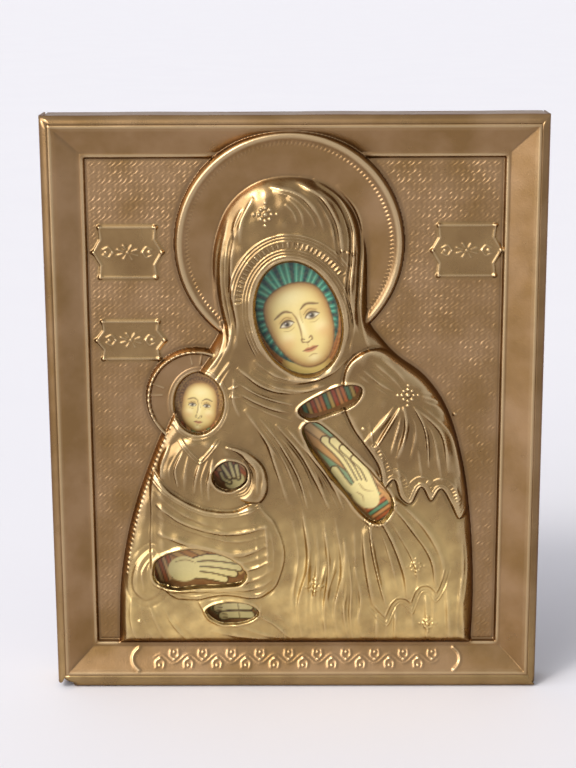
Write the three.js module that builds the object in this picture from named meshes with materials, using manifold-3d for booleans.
// A small icon of a mother and child: a stamped brass cover folded round a wooden board,
// with a colour print between them that shows through windows cut in the brass.
// Millimetres, +Z up. The front faces -Y. The origin is the middle of the bottom side.
import * as THREE from "three";
import { mergeVertices } from "three/addons/utils/BufferGeometryUtils.js";
import Module from "manifold-3d";

const wasm = await Module();
wasm.setup();

// Overall sizes
const overall_width = 90;
const overall_height = 107.3;
const overall_depth = 9;
const sheet_thickness = 0.3;
const cut_overrun = 1;

// Frame of the cover, from its side walls inwards
const shoulder_width = 1.6;
const shoulder_drop = 2;
const bottom_flare = 1.05;
const bead_width = 0.75;
const bevel_width = 4.4;
const bevel_drop = 2.4;
const lip_width = 0.7;
const step_width = 0.35;
const step_drop = 0.7;
const hem_width = 5;
const hem_mitre_gap = 0.5;
const corner_slit = 0.4;
const open_corner_slit = 2.8;

// Heights of the relief in front of the tooled field
const halo_dish_height = 1.3;
const halo_rim_height = 2.1;
const child_halo_dish_height = 1.5;
const child_halo_rim_height = 2.1;
const mantle_height = 2.6;
const veil_height = 4.4;
const child_height = 3.7;
const sleeve_height = 3.6;
const plate_height = 0.3;
const plate_rim_height = 0.6;

// Halos
const halo_radius = 20.9;
const halo_rim_width = 1.8;
const halo_tilt_degrees = 3.4;
const child_halo_radius = 9.2;
const child_halo_rim_width = 1.1;

// Face windows, each an oval
const face_half_width = 7.4;
const face_half_height = 10.5;
const face_tilt_degrees = 16;
const child_face_half_width = 4.4;
const child_face_half_height = 5.4;
const child_face_tilt_degrees = -6;

// Folds and hems of the clothes
const fold_radius = 0.75;
const hem_radius = 0.55;
const hem_inset = 1.7;

// Name plates and the strip in the bottom bevel
const plate_width = 12.4;
const plate_tall_height = 9.2;
const plate_low_height = 7;
const plate_rim_width = 0.7;
const plate_notch = 1.1;
const strip_length = 61.4;
const strip_bow = 1.2;
const strip_ridge_radius = 0.35;

// Pieces under the cover
const print_thickness = 0.3;
const glue_line = 0.1;
const seat_gap = 0.05;
const print_gap = 0.3;
const board_side_gap = 0.35;
const back_cover_thickness = 0.6;
const back_cover_gap = 0.4;

// Tacks and nails
const tack_head_radius = 1.2;
const tack_head_height = 0.45;
const tack_shank_radius = 0.4;
const tack_length = 3.4;
const nail_clearance = 0.15;
const side_tack_spacing = 38;
const end_tack_spacing = 46;
const nail_head_radius = 0.9;
const nail_head_height = 0.35;
const nail_spacing = 4.2;

// Hanger
const ring_wire_radius = 0.6;
const ring_bar_length = 8;
const ring_drop = 8.6;
const strap_width = 4.4;
const strap_length = 12;
const strap_thickness = 0.5;
const knuckle_clearance = 0.2;
const hanger_below_top = 20;
const strap_round_radius = 1.6;

// Places that follow from the sizes above. Fronts are measured towards the viewer.
const bead_front = (overall_depth + shoulder_drop) / 2;
const back_front = bead_front - overall_depth;
const bevel_foot_front = bead_front - bevel_drop;
const field_front = bevel_foot_front - step_drop;
const field_inset = shoulder_width + bead_width + bevel_width + lip_width + step_width;
const field_width = overall_width - 2 * field_inset;
const field_bottom = field_inset + bottom_flare;
const field_height = overall_height - field_inset - field_bottom;
const print_front = field_front - sheet_thickness - print_gap;
const board_front = print_front - print_thickness - glue_line;
const board_back = back_front + sheet_thickness + glue_line;
const cover_panel_front = board_back - glue_line;
const cover_panel_back = cover_panel_front - back_cover_thickness;
const relief_root = field_front - cut_overrun;
const board_inset = sheet_thickness + board_side_gap;

// Outlines of the relief. Each point is a share of the field's width from its middle
// and a share of the field's height from its foot.
const mantle_side_shares = [
  [0.441, 0.005], [0.444, 0.123], [0.433, 0.266], [0.411, 0.388], [0.374, 0.491],
  [0.317, 0.562], [0.245, 0.608], [0.191, 0.658], [0.121, 0.73], [-0.121, 0.73],
  [-0.191, 0.641], [-0.25, 0.559], [-0.315, 0.47], [-0.368, 0.366], [-0.411, 0.255],
  [-0.438, 0.134], [-0.446, 0.005],
];
const veil_shares = [
  [-0.027, 0.972], [0.062, 0.961], [0.132, 0.913], [0.169, 0.836], [0.177, 0.746],
  [0.178, 0.645], [0.141, 0.537], [0.027, 0.487], [-0.094, 0.526], [-0.167, 0.608],
  [-0.191, 0.714], [-0.199, 0.816], [-0.169, 0.902], [-0.108, 0.954],
];
const child_body_shares = [
  [-0.237, 0.452], [-0.293, 0.434], [-0.336, 0.394], [-0.355, 0.322], [-0.36, 0.233],
  [-0.366, 0.145], [-0.339, 0.073], [-0.262, 0.039], [-0.161, 0.035], [-0.078, 0.061],
  [-0.04, 0.123], [-0.043, 0.2], [-0.073, 0.277], [-0.099, 0.355], [-0.137, 0.416],
  [-0.183, 0.445],
];
const right_sleeve_shares = [
  [0.255, 0.337], [0.341, 0.284], [0.395, 0.2], [0.371, 0.116], [0.282, 0.13],
  [0.21, 0.194], [0.161, 0.253], [0.199, 0.308],
];
const left_sleeve_shares = [
  [-0.366, 0.218], [-0.411, 0.178], [-0.419, 0.116], [-0.376, 0.085], [-0.328, 0.108],
  [-0.312, 0.158], [-0.331, 0.207],
];
const raised_hand_window_shares = [
  [0.237, 0.306], [0.196, 0.357], [0.14, 0.405], [0.089, 0.447], [0.048, 0.472],
  [0.022, 0.461], [0.038, 0.425], [0.075, 0.381], [0.124, 0.328], [0.172, 0.277],
  [0.212, 0.269],
];
const holding_hand_window_shares = [
  [-0.344, 0.183], [-0.29, 0.205], [-0.228, 0.207], [-0.167, 0.189], [-0.129, 0.163],
  [-0.137, 0.141], [-0.183, 0.134], [-0.247, 0.132], [-0.309, 0.127], [-0.349, 0.143],
];
const child_hand_window_shares = [
  [-0.2, 0.37], [-0.169, 0.392], [-0.129, 0.383], [-0.124, 0.355], [-0.159, 0.335],
  [-0.194, 0.344],
];
const feet_window_shares = [
  [-0.223, 0.074], [-0.177, 0.092], [-0.121, 0.088], [-0.097, 0.068], [-0.126, 0.05],
  [-0.188, 0.048],
];
const neck_window_shares = [
  [0.011, 0.5], [0.062, 0.529], [0.121, 0.549], [0.159, 0.544], [0.142, 0.516],
  [0.089, 0.494], [0.035, 0.483],
];

// Middles of the round and domed forms, as the same shares
const halo_centre_share = [-0.013, 0.833];
const child_halo_centre_share = [-0.242, 0.52];
const face_centre_share = [0.008, 0.686];
const child_face_centre_share = [-0.237, 0.511];
const mantle_centre_share = [0, 0.3];
const veil_centre_share = [-0.011, 0.735];
const child_centre_share = [-0.208, 0.244];
const right_sleeve_centre_share = [0.285, 0.225];
const left_sleeve_centre_share = [-0.37, 0.15];
const upper_left_plate_share = [-0.403, 0.815];
const upper_right_plate_share = [0.414, 0.817];
const lower_left_plate_share = [-0.401, 0.637];

// Ridges of cloth, as the same shares, with the height of the form that carries each
const folds = [
  { height: mantle_height, path_shares: [[0.202, 0.586], [0.269, 0.526], [0.323, 0.437], [0.349, 0.355]] },
  { height: mantle_height, path_shares: [[0.155, 0.586], [0.202, 0.504], [0.245, 0.421]] },
  { height: mantle_height, path_shares: [[0.39, 0.366], [0.404, 0.266], [0.406, 0.145], [0.4, 0.05]] },
  { height: mantle_height, path_shares: [[0.269, 0.105], [0.261, 0.07], [0.245, 0.05]] },
  { height: mantle_height, path_shares: [[0.344, 0.1], [0.352, 0.07], [0.362, 0.05]] },
  { height: mantle_height, path_shares: [[0.113, 0.222], [0.128, 0.123], [0.121, 0.05]] },
  { height: mantle_height, path_shares: [[0.027, 0.388], [0.043, 0.255], [0.035, 0.134], [0.02, 0.05]] },
  { height: mantle_height, path_shares: [[-0.352, 0.371], [-0.388, 0.284], [-0.404, 0.22]] },
  { height: veil_height, path_shares: [[0.07, 0.9], [0.115, 0.83], [0.13, 0.76], [0.135, 0.68]] },
  { height: veil_height, path_shares: [[-0.1, 0.88], [-0.14, 0.81], [-0.145, 0.74], [-0.13, 0.67]] },
  { height: child_height, path_shares: [[-0.291, 0.395], [-0.28, 0.322], [-0.301, 0.24]] },
  { height: child_height, path_shares: [[-0.11, 0.305], [-0.161, 0.27], [-0.242, 0.262]] },
  { height: child_height, path_shares: [[-0.085, 0.233], [-0.134, 0.225], [-0.202, 0.23]] },
  { height: child_height, path_shares: [[-0.095, 0.119], [-0.148, 0.111], [-0.242, 0.105], [-0.302, 0.1]] },
];

// How a form swells: share of the way out to its outline, share of its height
const swell_shares = [[0.74, 1], [0.88, 0.93], [0.97, 0.72], [1, 0.4]];
// How the frame's shoulder turns: share of the shoulder's width still to go, share of its drop
const shoulder_round_shares = [[1, 1], [0.87, 0.5], [0.5, 0.12], [0, 0]];

// How a strip bracket bends: share of its bow, from its lower end to its upper end
const strip_bow_shares = [1, 0.3, 0, 0.3, 1];
// Shares of a nail head's radius and height where its dome turns, and of the hanging ring's width
const head_turn_shares = [0.5, 0.8];
const ring_corner_share = 0.25;
const ring_foot_share = 0.7;
const slit_reach_share = 0.8;

// Counts of points and facets
const outline_point_count = 40;
const window_point_count = 26;
const halo_facet_count = 48;
const child_halo_facet_count = 32;
const fold_step_count = 7;
const fold_side_count = 5;
const tack_facet_count = 10;
const wire_side_count = 8;
const ring_step_count = 40;
const strap_facet_count = 4;

const brass = { color: 0x94744c, roughness: 0.42, metalness: 1 };
const bright_brass = { color: 0xb59a5f, roughness: 0.35, metalness: 1 };
const paper = { color: 0xe4cf8c, roughness: 0.6, metalness: 0 };
const wood = { color: 0xb98f5e, roughness: 0.75, metalness: 0 };
const velvet_card = { color: 0x5c1f24, roughness: 0.95, metalness: 0 };
const steel = { color: 0x9a9790, roughness: 0.4, metalness: 1 };

// A closed geometry as a solid that can be joined and cut
function solid(geometry) {
  const bare = geometry.clone();
  bare.deleteAttribute("normal");
  bare.deleteAttribute("uv");
  const merged = mergeVertices(bare);
  const triVerts = new Uint32Array(merged.index.array);
  const vertProperties = merged.attributes.position.array;
  const made = new wasm.Manifold(new wasm.Mesh({ numProp: 3, vertProperties, triVerts }));
  if (made.volume() > 0) return made;
  for (let i = 0; i < triVerts.length; i += 3) {
    [triVerts[i + 1], triVerts[i + 2]] = [triVerts[i + 2], triVerts[i + 1]];
  }
  return new wasm.Manifold(new wasm.Mesh({ numProp: 3, vertProperties, triVerts }));
}

// A named mesh of one solid
function piece(name, made, finish) {
  const { vertProperties, triVerts } = made.getMesh();
  const geometry = new THREE.BufferGeometry();
  geometry.setAttribute("position", new THREE.BufferAttribute(vertProperties, 3));
  geometry.setIndex(new THREE.BufferAttribute(triVerts, 1));
  geometry.computeVertexNormals();
  const mesh = new THREE.Mesh(geometry, new THREE.MeshStandardMaterial(finish));
  mesh.name = name;
  return mesh;
}

// A closed skin over rings of points, with a flat fan at each end, or joined end to end
function loft(rings, joined = false) {
  const count = rings[0].length;
  const positions = rings.flat().flatMap((point) => point.toArray());
  const faces = [];
  for (let ring = 0; ring + (joined ? 0 : 1) < rings.length; ring++) {
    const here = ring * count;
    const there = ((ring + 1) % rings.length) * count;
    for (let k = 0; k < count; k++) {
      const next = (k + 1) % count;
      faces.push(here + k, here + next, there + next, here + k, there + next, there + k);
    }
  }
  for (const [ring, turned] of joined ? [] : [[rings[0], true], [rings.at(-1), false]]) {
    const start = rings.indexOf(ring) * count;
    const middle = positions.length / 3;
    const centre = ring.reduce((sum, point) => sum.add(point), new THREE.Vector3());
    positions.push(...centre.divideScalar(count).toArray());
    for (let k = 0; k < count; k++) {
      const next = (k + 1) % count;
      faces.push(middle, ...(turned ? [start + next, start + k] : [start + k, start + next]));
    }
  }
  const geometry = new THREE.BufferGeometry();
  geometry.setAttribute("position", new THREE.Float32BufferAttribute(positions, 3));
  geometry.setIndex(faces);
  return solid(geometry);
}

// A point of the field from its two shares
function place([across, up]) {
  return new THREE.Vector2(across * field_width, field_bottom + up * field_height);
}

// A smooth closed outline through points given as shares
function closedOutline(shares, count) {
  const points = shares.map(place).map((point) => new THREE.Vector3(point.x, point.y, 0));
  const curve = new THREE.CatmullRomCurve3(points, true);
  return curve.getSpacedPoints(count).slice(0, count);
}

// The mantle's outline: a smooth side that runs up and over, closed by a straight foot
function mantleOutline() {
  const side = new THREE.SplineCurve(mantle_side_shares.map(place));
  return side.getSpacedPoints(outline_point_count).map((point) => new THREE.Vector3(point.x, point.y, 0));
}

// A form that swells out of the field inside an outline. A shell is its hollow back.
function swell(outline, centre_share, height, shell) {
  const centre = place(centre_share);
  const rings = [[1, (relief_root - field_front) / height], ...swell_shares.toReversed()];
  return loft(
    rings.map(([reach_share, rise_share]) =>
      outline.map((point) => {
        const out = new THREE.Vector2(point.x, point.y).sub(centre);
        out.setLength(out.length() - shell).multiplyScalar(reach_share).add(centre);
        const rise = rise_share > 0 ? rise_share * height - shell : rise_share * height;
        return new THREE.Vector3(out.x, out.y, field_front + rise);
      }),
    ),
  );
}

// A halo: a dished disc with a rolled rim
function halo(radius, rim_width, dish_height, rim_height, facets, shell) {
  const rim_inner = radius - rim_width;
  const root = relief_root - field_front;
  const profile = [
    [0, root],
    [radius - shell, root],
    [radius - shell, rim_height / 2 - shell],
    [radius - rim_width / 4 - shell, rim_height - rim_width / 8 - shell],
    [radius - rim_width / 2, rim_height - shell],
    [rim_inner + shell, dish_height - shell],
    [0, dish_height - shell],
  ];
  const points = profile.map(([reach, rise]) => new THREE.Vector2(reach, rise));
  return new THREE.LatheGeometry(points, facets).rotateX(Math.PI / 2);
}

function motherHalo(shell) {
  const at = place(halo_centre_share);
  const disc = halo(
    halo_radius, halo_rim_width, halo_dish_height,
    halo_rim_height, halo_facet_count, shell,
  );
  disc.rotateX(THREE.MathUtils.degToRad(halo_tilt_degrees));
  return solid(disc.translate(at.x, at.y, field_front));
}

function childHalo(shell) {
  const at = place(child_halo_centre_share);
  const disc = halo(
    child_halo_radius, child_halo_rim_width, child_halo_dish_height,
    child_halo_rim_height, child_halo_facet_count, shell,
  );
  return solid(disc.translate(at.x, at.y, field_front));
}

// A rectangle of the cover at an inset from its side walls. The bottom shoulder flares,
// so inside it the rectangle's foot stands higher by a share of that flare.
function rectangle(inset, front, flare_share = 0) {
  const right = overall_width / 2 - inset;
  const bottom = inset + flare_share * bottom_flare;
  const top = overall_height - inset;
  return [[-right, bottom], [right, bottom], [right, top], [-right, top]].map(
    ([x, y]) => new THREE.Vector3(x, y, front),
  );
}

// The block that the cover's outside encloses, or, with a shell, its hollow inside
function coverBlock(shell) {
  const bead_inset = shoulder_width + bead_width;
  const bevel_foot_inset = bead_inset + bevel_width;
  const lip_inset = bevel_foot_inset + lip_width;
  const back = shell > 0 ? back_front - cut_overrun : back_front;
  const shoulder = shoulder_round_shares.map(([width_share, drop_share]) =>
    rectangle(
      (1 - width_share) * shoulder_width + shell,
      bead_front - drop_share * shoulder_drop - (drop_share < 1 ? shell : 0),
      1 - width_share,
    ),
  );
  return loft([
    rectangle(shell, back),
    ...shoulder,
    rectangle(bead_inset, bead_front - shell, 1),
    rectangle(bevel_foot_inset, bevel_foot_front - shell, 1),
    rectangle(lip_inset - shell, bevel_foot_front - shell, 1),
    rectangle(field_inset - shell, field_front - shell, 1),
  ]);
}

function sleeve(shares, centre_share, shell) {
  return swell(closedOutline(shares, window_point_count), centre_share, sleeve_height, shell);
}

// The clothes, heads and halos together
function figures(shell) {
  const forms = [
    motherHalo(shell),
    swell(mantleOutline(), mantle_centre_share, mantle_height, shell),
    swell(closedOutline(veil_shares, outline_point_count), veil_centre_share, veil_height, shell),
    sleeve(right_sleeve_shares, right_sleeve_centre_share, shell),
    sleeve(left_sleeve_shares, left_sleeve_centre_share, shell),
    childHalo(shell),
    swell(closedOutline(child_body_shares, outline_point_count), child_centre_share, child_height, shell),
  ];
  return forms.reduce((sum, form) => sum.add(form));
}

// A round section with flat facets
function roundSection(radius, sides) {
  return Array.from({ length: sides }, (_, k) => {
    const turn = (2 * Math.PI * k) / sides;
    return new THREE.Vector2(radius * Math.cos(turn), radius * Math.sin(turn));
  });
}

// A ridge along a path, half sunk in the form that carries it
function ridge(points, radius) {
  const section = new THREE.Shape(roundSection(radius, fold_side_count));
  const path = new THREE.CatmullRomCurve3(points);
  const options = { steps: fold_step_count, extrudePath: path, bevelEnabled: false };
  return solid(new THREE.ExtrudeGeometry(section, options));
}

// A wire bent round on itself along a closed path
function closedWire(points, radius, steps, sides) {
  const path = new THREE.CatmullRomCurve3(points, true);
  const frames = path.computeFrenetFrames(steps, true);
  const section = roundSection(radius, sides);
  const rings = Array.from({ length: steps }, (_, k) =>
    section.map((point) =>
      path.getPointAt(k / steps)
        .addScaledVector(frames.normals[k], point.x)
        .addScaledVector(frames.binormals[k], point.y),
    ),
  );
  return loft(rings, true);
}

function clothFold({ height, path_shares }) {
  const last = path_shares.length - 1;
  const points = path_shares.map((share, k) => {
    const sunk = k === 0 || k === last ? fold_radius : fold_radius / 2;
    const at = place(share);
    return new THREE.Vector3(at.x, at.y, field_front + height - sunk);
  });
  return ridge(points, fold_radius);
}

// An oval about a middle, leaning by an angle
function oval(centre_share, half_width, half_height, tilt_degrees) {
  const at = place(centre_share);
  const tilt = THREE.MathUtils.degToRad(tilt_degrees);
  const ellipse = new THREE.EllipseCurve(at.x, at.y, half_width, half_height, 0, 2 * Math.PI, false, tilt);
  return ellipse.getPoints(window_point_count).slice(0, window_point_count);
}

// The raised hem that runs round a face window
function faceHem(centre_share, half_width, half_height, tilt_degrees, height) {
  const outline = oval(centre_share, half_width + hem_inset, half_height + hem_inset, tilt_degrees);
  const front = field_front + height - hem_radius / 2;
  const points = outline.map((point) => new THREE.Vector3(point.x, point.y, front));
  return closedWire(points, hem_radius, window_point_count, fold_side_count);
}

// A cut straight through the relief, down to just in front of the print
function windowCut(outline) {
  const shape = new THREE.Shape(outline.map((point) => new THREE.Vector2(point.x, point.y)));
  const bottom = print_front - cut_overrun;
  const depth = field_front + veil_height + 2 * cut_overrun - bottom;
  return solid(new THREE.ExtrudeGeometry(shape, { depth, bevelEnabled: false }).translate(0, 0, bottom));
}

function windows() {
  const cuts = [
    windowCut(oval(face_centre_share, face_half_width, face_half_height, face_tilt_degrees)),
    windowCut(oval(
      child_face_centre_share, child_face_half_width, child_face_half_height, child_face_tilt_degrees,
    )),
    windowCut(closedOutline(raised_hand_window_shares, window_point_count)),
    windowCut(closedOutline(holding_hand_window_shares, window_point_count)),
    windowCut(closedOutline(child_hand_window_shares, window_point_count)),
    windowCut(closedOutline(feet_window_shares, window_point_count)),
    windowCut(closedOutline(neck_window_shares, window_point_count)),
  ];
  return cuts.reduce((sum, cut) => sum.add(cut));
}

// The outline of a name plate, with hollow corners and pointed sides
function plateOutline(width, height) {
  const [x, y] = [width / 2, height / 2];
  return [
    [-x + plate_notch, -y], [x - plate_notch, -y], [x - plate_notch, -y / 2], [x, 0],
    [x - plate_notch, y / 2], [x - plate_notch, y], [-x + plate_notch, y],
    [-x + plate_notch, y / 2], [-x, 0], [-x + plate_notch, -y / 2],
  ].map(([across, up]) => new THREE.Vector2(across, up));
}

// A blank name plate: a low panel inside a raised rim
function namePlate(centre_share, height) {
  const at = place(centre_share);
  const outline = new THREE.Shape(plateOutline(plate_width, height));
  const inner_width = plate_width - 2 * plate_rim_width;
  const inner_height = height - 2 * plate_rim_width;
  const plain = (shape, height_over) =>
    new THREE.ExtrudeGeometry(shape, { depth: sheet_thickness + height_over, bevelEnabled: false });
  const low_panel = plain(outline, plate_height);
  const rim_shape = outline.clone();
  rim_shape.holes.push(new THREE.Path(plateOutline(inner_width, inner_height).reverse()));
  const rim = plain(rim_shape, plate_rim_height);
  const under = field_front - sheet_thickness;
  return solid(low_panel.translate(at.x, at.y, under)).add(solid(rim.translate(at.x, at.y, under)));
}

// The curved brackets at the ends of the strip in the bottom bevel
function stripBracket(side) {
  const low = shoulder_width + bead_width + bottom_flare;
  const points = strip_bow_shares.map((bow_share, k) => {
    const up_share = (k + 1) / (strip_bow_shares.length + 1);
    const x = side * (strip_length / 2 - bow_share * strip_bow);
    const front = bead_front - up_share * bevel_drop - strip_ridge_radius / 2;
    return new THREE.Vector3(x, low + up_share * bevel_width, front);
  });
  return ridge(points, strip_ridge_radius);
}

// The folded edges behind the board, with mitred ends
function hems() {
  const outer = loft([rectangle(0, back_front), rectangle(0, back_front + sheet_thickness)]);
  const opening = loft([
    rectangle(hem_width, back_front - cut_overrun),
    rectangle(hem_width, back_front + sheet_thickness + cut_overrun),
  ]);
  const mitre_length = 4 * hem_width;
  const cuts = [[-1, 1], [1, 1], [1, -1], [-1, -1]].map(([x_side, y_side]) => {
    const cut = new THREE.BoxGeometry(mitre_length, hem_mitre_gap, 2 * cut_overrun);
    cut.rotateZ((x_side * y_side * Math.PI) / 4);
    const y = y_side > 0 ? overall_height : 0;
    return solid(cut.translate((x_side * overall_width) / 2, y, back_front));
  });
  return cuts.reduce((sum, cut) => sum.subtract(cut), outer.subtract(opening));
}

// The open seams where two side walls meet at a corner
function cornerSlits() {
  const depth = overall_depth + 2 * cut_overrun;
  const slit = (x_side, y_side, width) => {
    const flare = y_side > 0 ? 0 : bottom_flare;
    const reach = 2 * slit_reach_share * (shoulder_width + flare);
    const box = new THREE.BoxGeometry(width, reach, depth);
    const x = x_side * (overall_width / 2 - sheet_thickness - width / 2);
    const y = y_side > 0 ? overall_height : 0;
    return solid(box.translate(x, y, (bead_front + back_front) / 2));
  };
  const slits = [slit(-1, 1, corner_slit), slit(1, 1, corner_slit), slit(1, -1, corner_slit)];
  slits.push(slit(-1, -1, open_corner_slit));
  return slits.reduce((sum, cut) => sum.add(cut));
}

// Middles of the ten tacks, in the middle of the folded edges
function tackPlaces() {
  const x = overall_width / 2 - hem_width / 2;
  const middle = overall_height / 2;
  const top = overall_height - hem_width / 2;
  const places = {};
  [["upper", 1], ["middle", 0], ["lower", -1]].forEach(([word, step]) => {
    places["tack_left_" + word] = [-x, middle + step * side_tack_spacing];
    places["tack_right_" + word] = [x, middle + step * side_tack_spacing];
  });
  [["left", -1], ["right", 1]].forEach(([word, side]) => {
    places["tack_top_" + word] = [(side * end_tack_spacing) / 2, top];
    places["tack_bottom_" + word] = [(side * end_tack_spacing) / 2, hem_width / 2];
  });
  return places;
}

// A round hole along the depth, wider than the shank that goes through it
function shankHole([x, y], shank_radius, front, back) {
  const radius = shank_radius + nail_clearance;
  const length = front - back;
  const hole = new THREE.CylinderGeometry(radius, radius, length, tack_facet_count).rotateX(Math.PI / 2);
  return solid(hole.translate(x, y, (front + back) / 2));
}

// A tack or nail driven from the back: a low domed head on a pointed shank
function nail(name, [x, y], seat, head_radius, head_height) {
  const tip = seat + tack_length;
  const profile = [
    [0, seat - head_height],
    [head_radius * head_turn_shares[0], seat - head_height * head_turn_shares[1]],
    [head_radius, seat],
    [tack_shank_radius, seat],
    [tack_shank_radius, tip - tack_shank_radius],
    [0, tip],
  ].map(([reach, front]) => new THREE.Vector2(reach, front));
  const body = new THREE.LatheGeometry(profile, tack_facet_count).rotateX(Math.PI / 2);
  return piece(name, solid(body.translate(x, y, 0)), steel);
}

function riza(tack_places) {
  let outside = coverBlock(0).add(figures(0));
  const plates = [
    namePlate(upper_left_plate_share, plate_tall_height),
    namePlate(upper_right_plate_share, plate_tall_height),
    namePlate(lower_left_plate_share, plate_low_height),
  ];
  const hem_of_veil = faceHem(
    face_centre_share, face_half_width, face_half_height, face_tilt_degrees, veil_height,
  );
  const brackets = [stripBracket(-1), stripBracket(1)];
  for (const form of [...plates, ...folds.map(clothFold), hem_of_veil, ...brackets]) {
    outside = outside.add(form);
  }
  const inside = coverBlock(sheet_thickness).add(figures(sheet_thickness));
  let shell = outside.subtract(inside).subtract(windows()).add(hems()).subtract(cornerSlits());
  const hem_front = back_front + 2 * sheet_thickness;
  for (const at of tack_places) {
    shell = shell.subtract(shankHole(at, tack_shank_radius, hem_front, back_front - cut_overrun));
  }
  return piece("riza", shell, brass);
}

// A flat panel inside the cover, at an inset from its side walls
function panel(inset, front, back) {
  return loft([rectangle(inset, back), rectangle(inset, front)]);
}

function printedPicture() {
  return piece("printed_picture", panel(board_inset, print_front, print_front - print_thickness), paper);
}

function board(nail_places) {
  let body = panel(board_inset, board_front, board_back);
  const hole_front = board_back + tack_length;
  for (const at of nail_places) {
    body = body.subtract(shankHole(at, tack_shank_radius, hole_front, board_back - cut_overrun));
  }
  return piece("board", body, wood);
}

function backCover(nail_places) {
  let body = panel(hem_width + back_cover_gap, cover_panel_front, cover_panel_back);
  for (const at of nail_places) {
    body = body.subtract(
      shankHole(at, tack_shank_radius, cover_panel_front + cut_overrun, cover_panel_back - cut_overrun),
    );
  }
  return piece("back_cover", body, velvet_card);
}

// Where the hanger sits: its knuckle's axis, and its two nails below
const strap_back = cover_panel_back - glue_line - strap_thickness;
const knuckle_radius = ring_wire_radius + knuckle_clearance + strap_thickness;
const axis_front = cover_panel_back - glue_line - knuckle_radius;
const axis_height = overall_height - hanger_below_top;
const nail_top = axis_height - knuckle_radius - nail_head_radius - 2 * nail_clearance;
const hanger_nail_places = [[0, nail_top], [0, nail_top - nail_spacing]];

// The strap: a flat tongue with a knuckle rolled round the ring's bar
function hangerStrap() {
  const front = cover_panel_back - glue_line;
  const tongue = new THREE.Shape();
  const side = strap_width / 2;
  tongue.moveTo(-side, 0);
  tongue.lineTo(-side, -strap_length + strap_round_radius);
  tongue.quadraticCurveTo(-side, -strap_length, -side + strap_round_radius, -strap_length);
  tongue.lineTo(side - strap_round_radius, -strap_length);
  tongue.quadraticCurveTo(side, -strap_length, side, -strap_length + strap_round_radius);
  tongue.lineTo(side, 0);
  const flat = new THREE.ExtrudeGeometry(tongue, {
    depth: strap_thickness,
    bevelEnabled: false,
    curveSegments: strap_facet_count,
  });
  flat.translate(0, axis_height, strap_back);
  const barrel = (radius, length) => {
    const round = new THREE.CylinderGeometry(radius, radius, length, 2 * wire_side_count);
    return solid(round.rotateZ(Math.PI / 2).translate(0, axis_height, axis_front));
  };
  let strap = solid(flat).add(barrel(knuckle_radius, strap_width));
  strap = strap.subtract(barrel(ring_wire_radius + knuckle_clearance, strap_width + cut_overrun));
  for (const at of hanger_nail_places) {
    strap = strap.subtract(shankHole(at, tack_shank_radius, front + cut_overrun, strap_back - cut_overrun));
  }
  return piece("hanger_strap", strap, bright_brass);
}

// The D-shaped ring: a straight bar in the knuckle and a bow that hangs below it
function hangerRing() {
  const half = ring_bar_length / 2;
  const corner = half * ring_corner_share;
  const foot = half * ring_foot_share;
  const path = new THREE.CurvePath();
  const at = (x, y) => new THREE.Vector3(x, axis_height + y, axis_front);
  const bow = ring_drop - corner;
  path.add(new THREE.LineCurve3(at(-half + corner, 0), at(half - corner, 0)));
  path.add(new THREE.QuadraticBezierCurve3(at(half - corner, 0), at(half, 0), at(half, -corner)));
  const lowest = at(0, -ring_drop);
  path.add(new THREE.CubicBezierCurve3(at(half, -corner), at(half, -bow), at(foot, -ring_drop), lowest));
  path.add(new THREE.CubicBezierCurve3(lowest, at(-foot, -ring_drop), at(-half, -bow), at(-half, -corner)));
  path.add(new THREE.QuadraticBezierCurve3(at(-half, -corner), at(-half, 0), at(-half + corner, 0)));
  const points = path.getSpacedPoints(ring_step_count).slice(0, ring_step_count);
  const wire = closedWire(points, ring_wire_radius, ring_step_count, wire_side_count);
  return piece("hanger_ring", wire, bright_brass);
}

const icon = new THREE.Group();
icon.rotation.x = Math.PI / 2;
const tack_places = tackPlaces();
const tack_holes = Object.values(tack_places);
icon.add(riza(tack_holes), printedPicture(), board([...tack_holes, ...hanger_nail_places]));
icon.add(backCover(hanger_nail_places), hangerStrap(), hangerRing());
for (const [name, at] of Object.entries(tack_places)) {
  icon.add(nail(name, at, back_front - seat_gap, tack_head_radius, tack_head_height));
}
hanger_nail_places.forEach((at, k) => {
  const name = "hanger_nail_" + ["upper", "lower"][k];
  icon.add(nail(name, at, strap_back - seat_gap, nail_head_radius, nail_head_height));
});

export default icon;
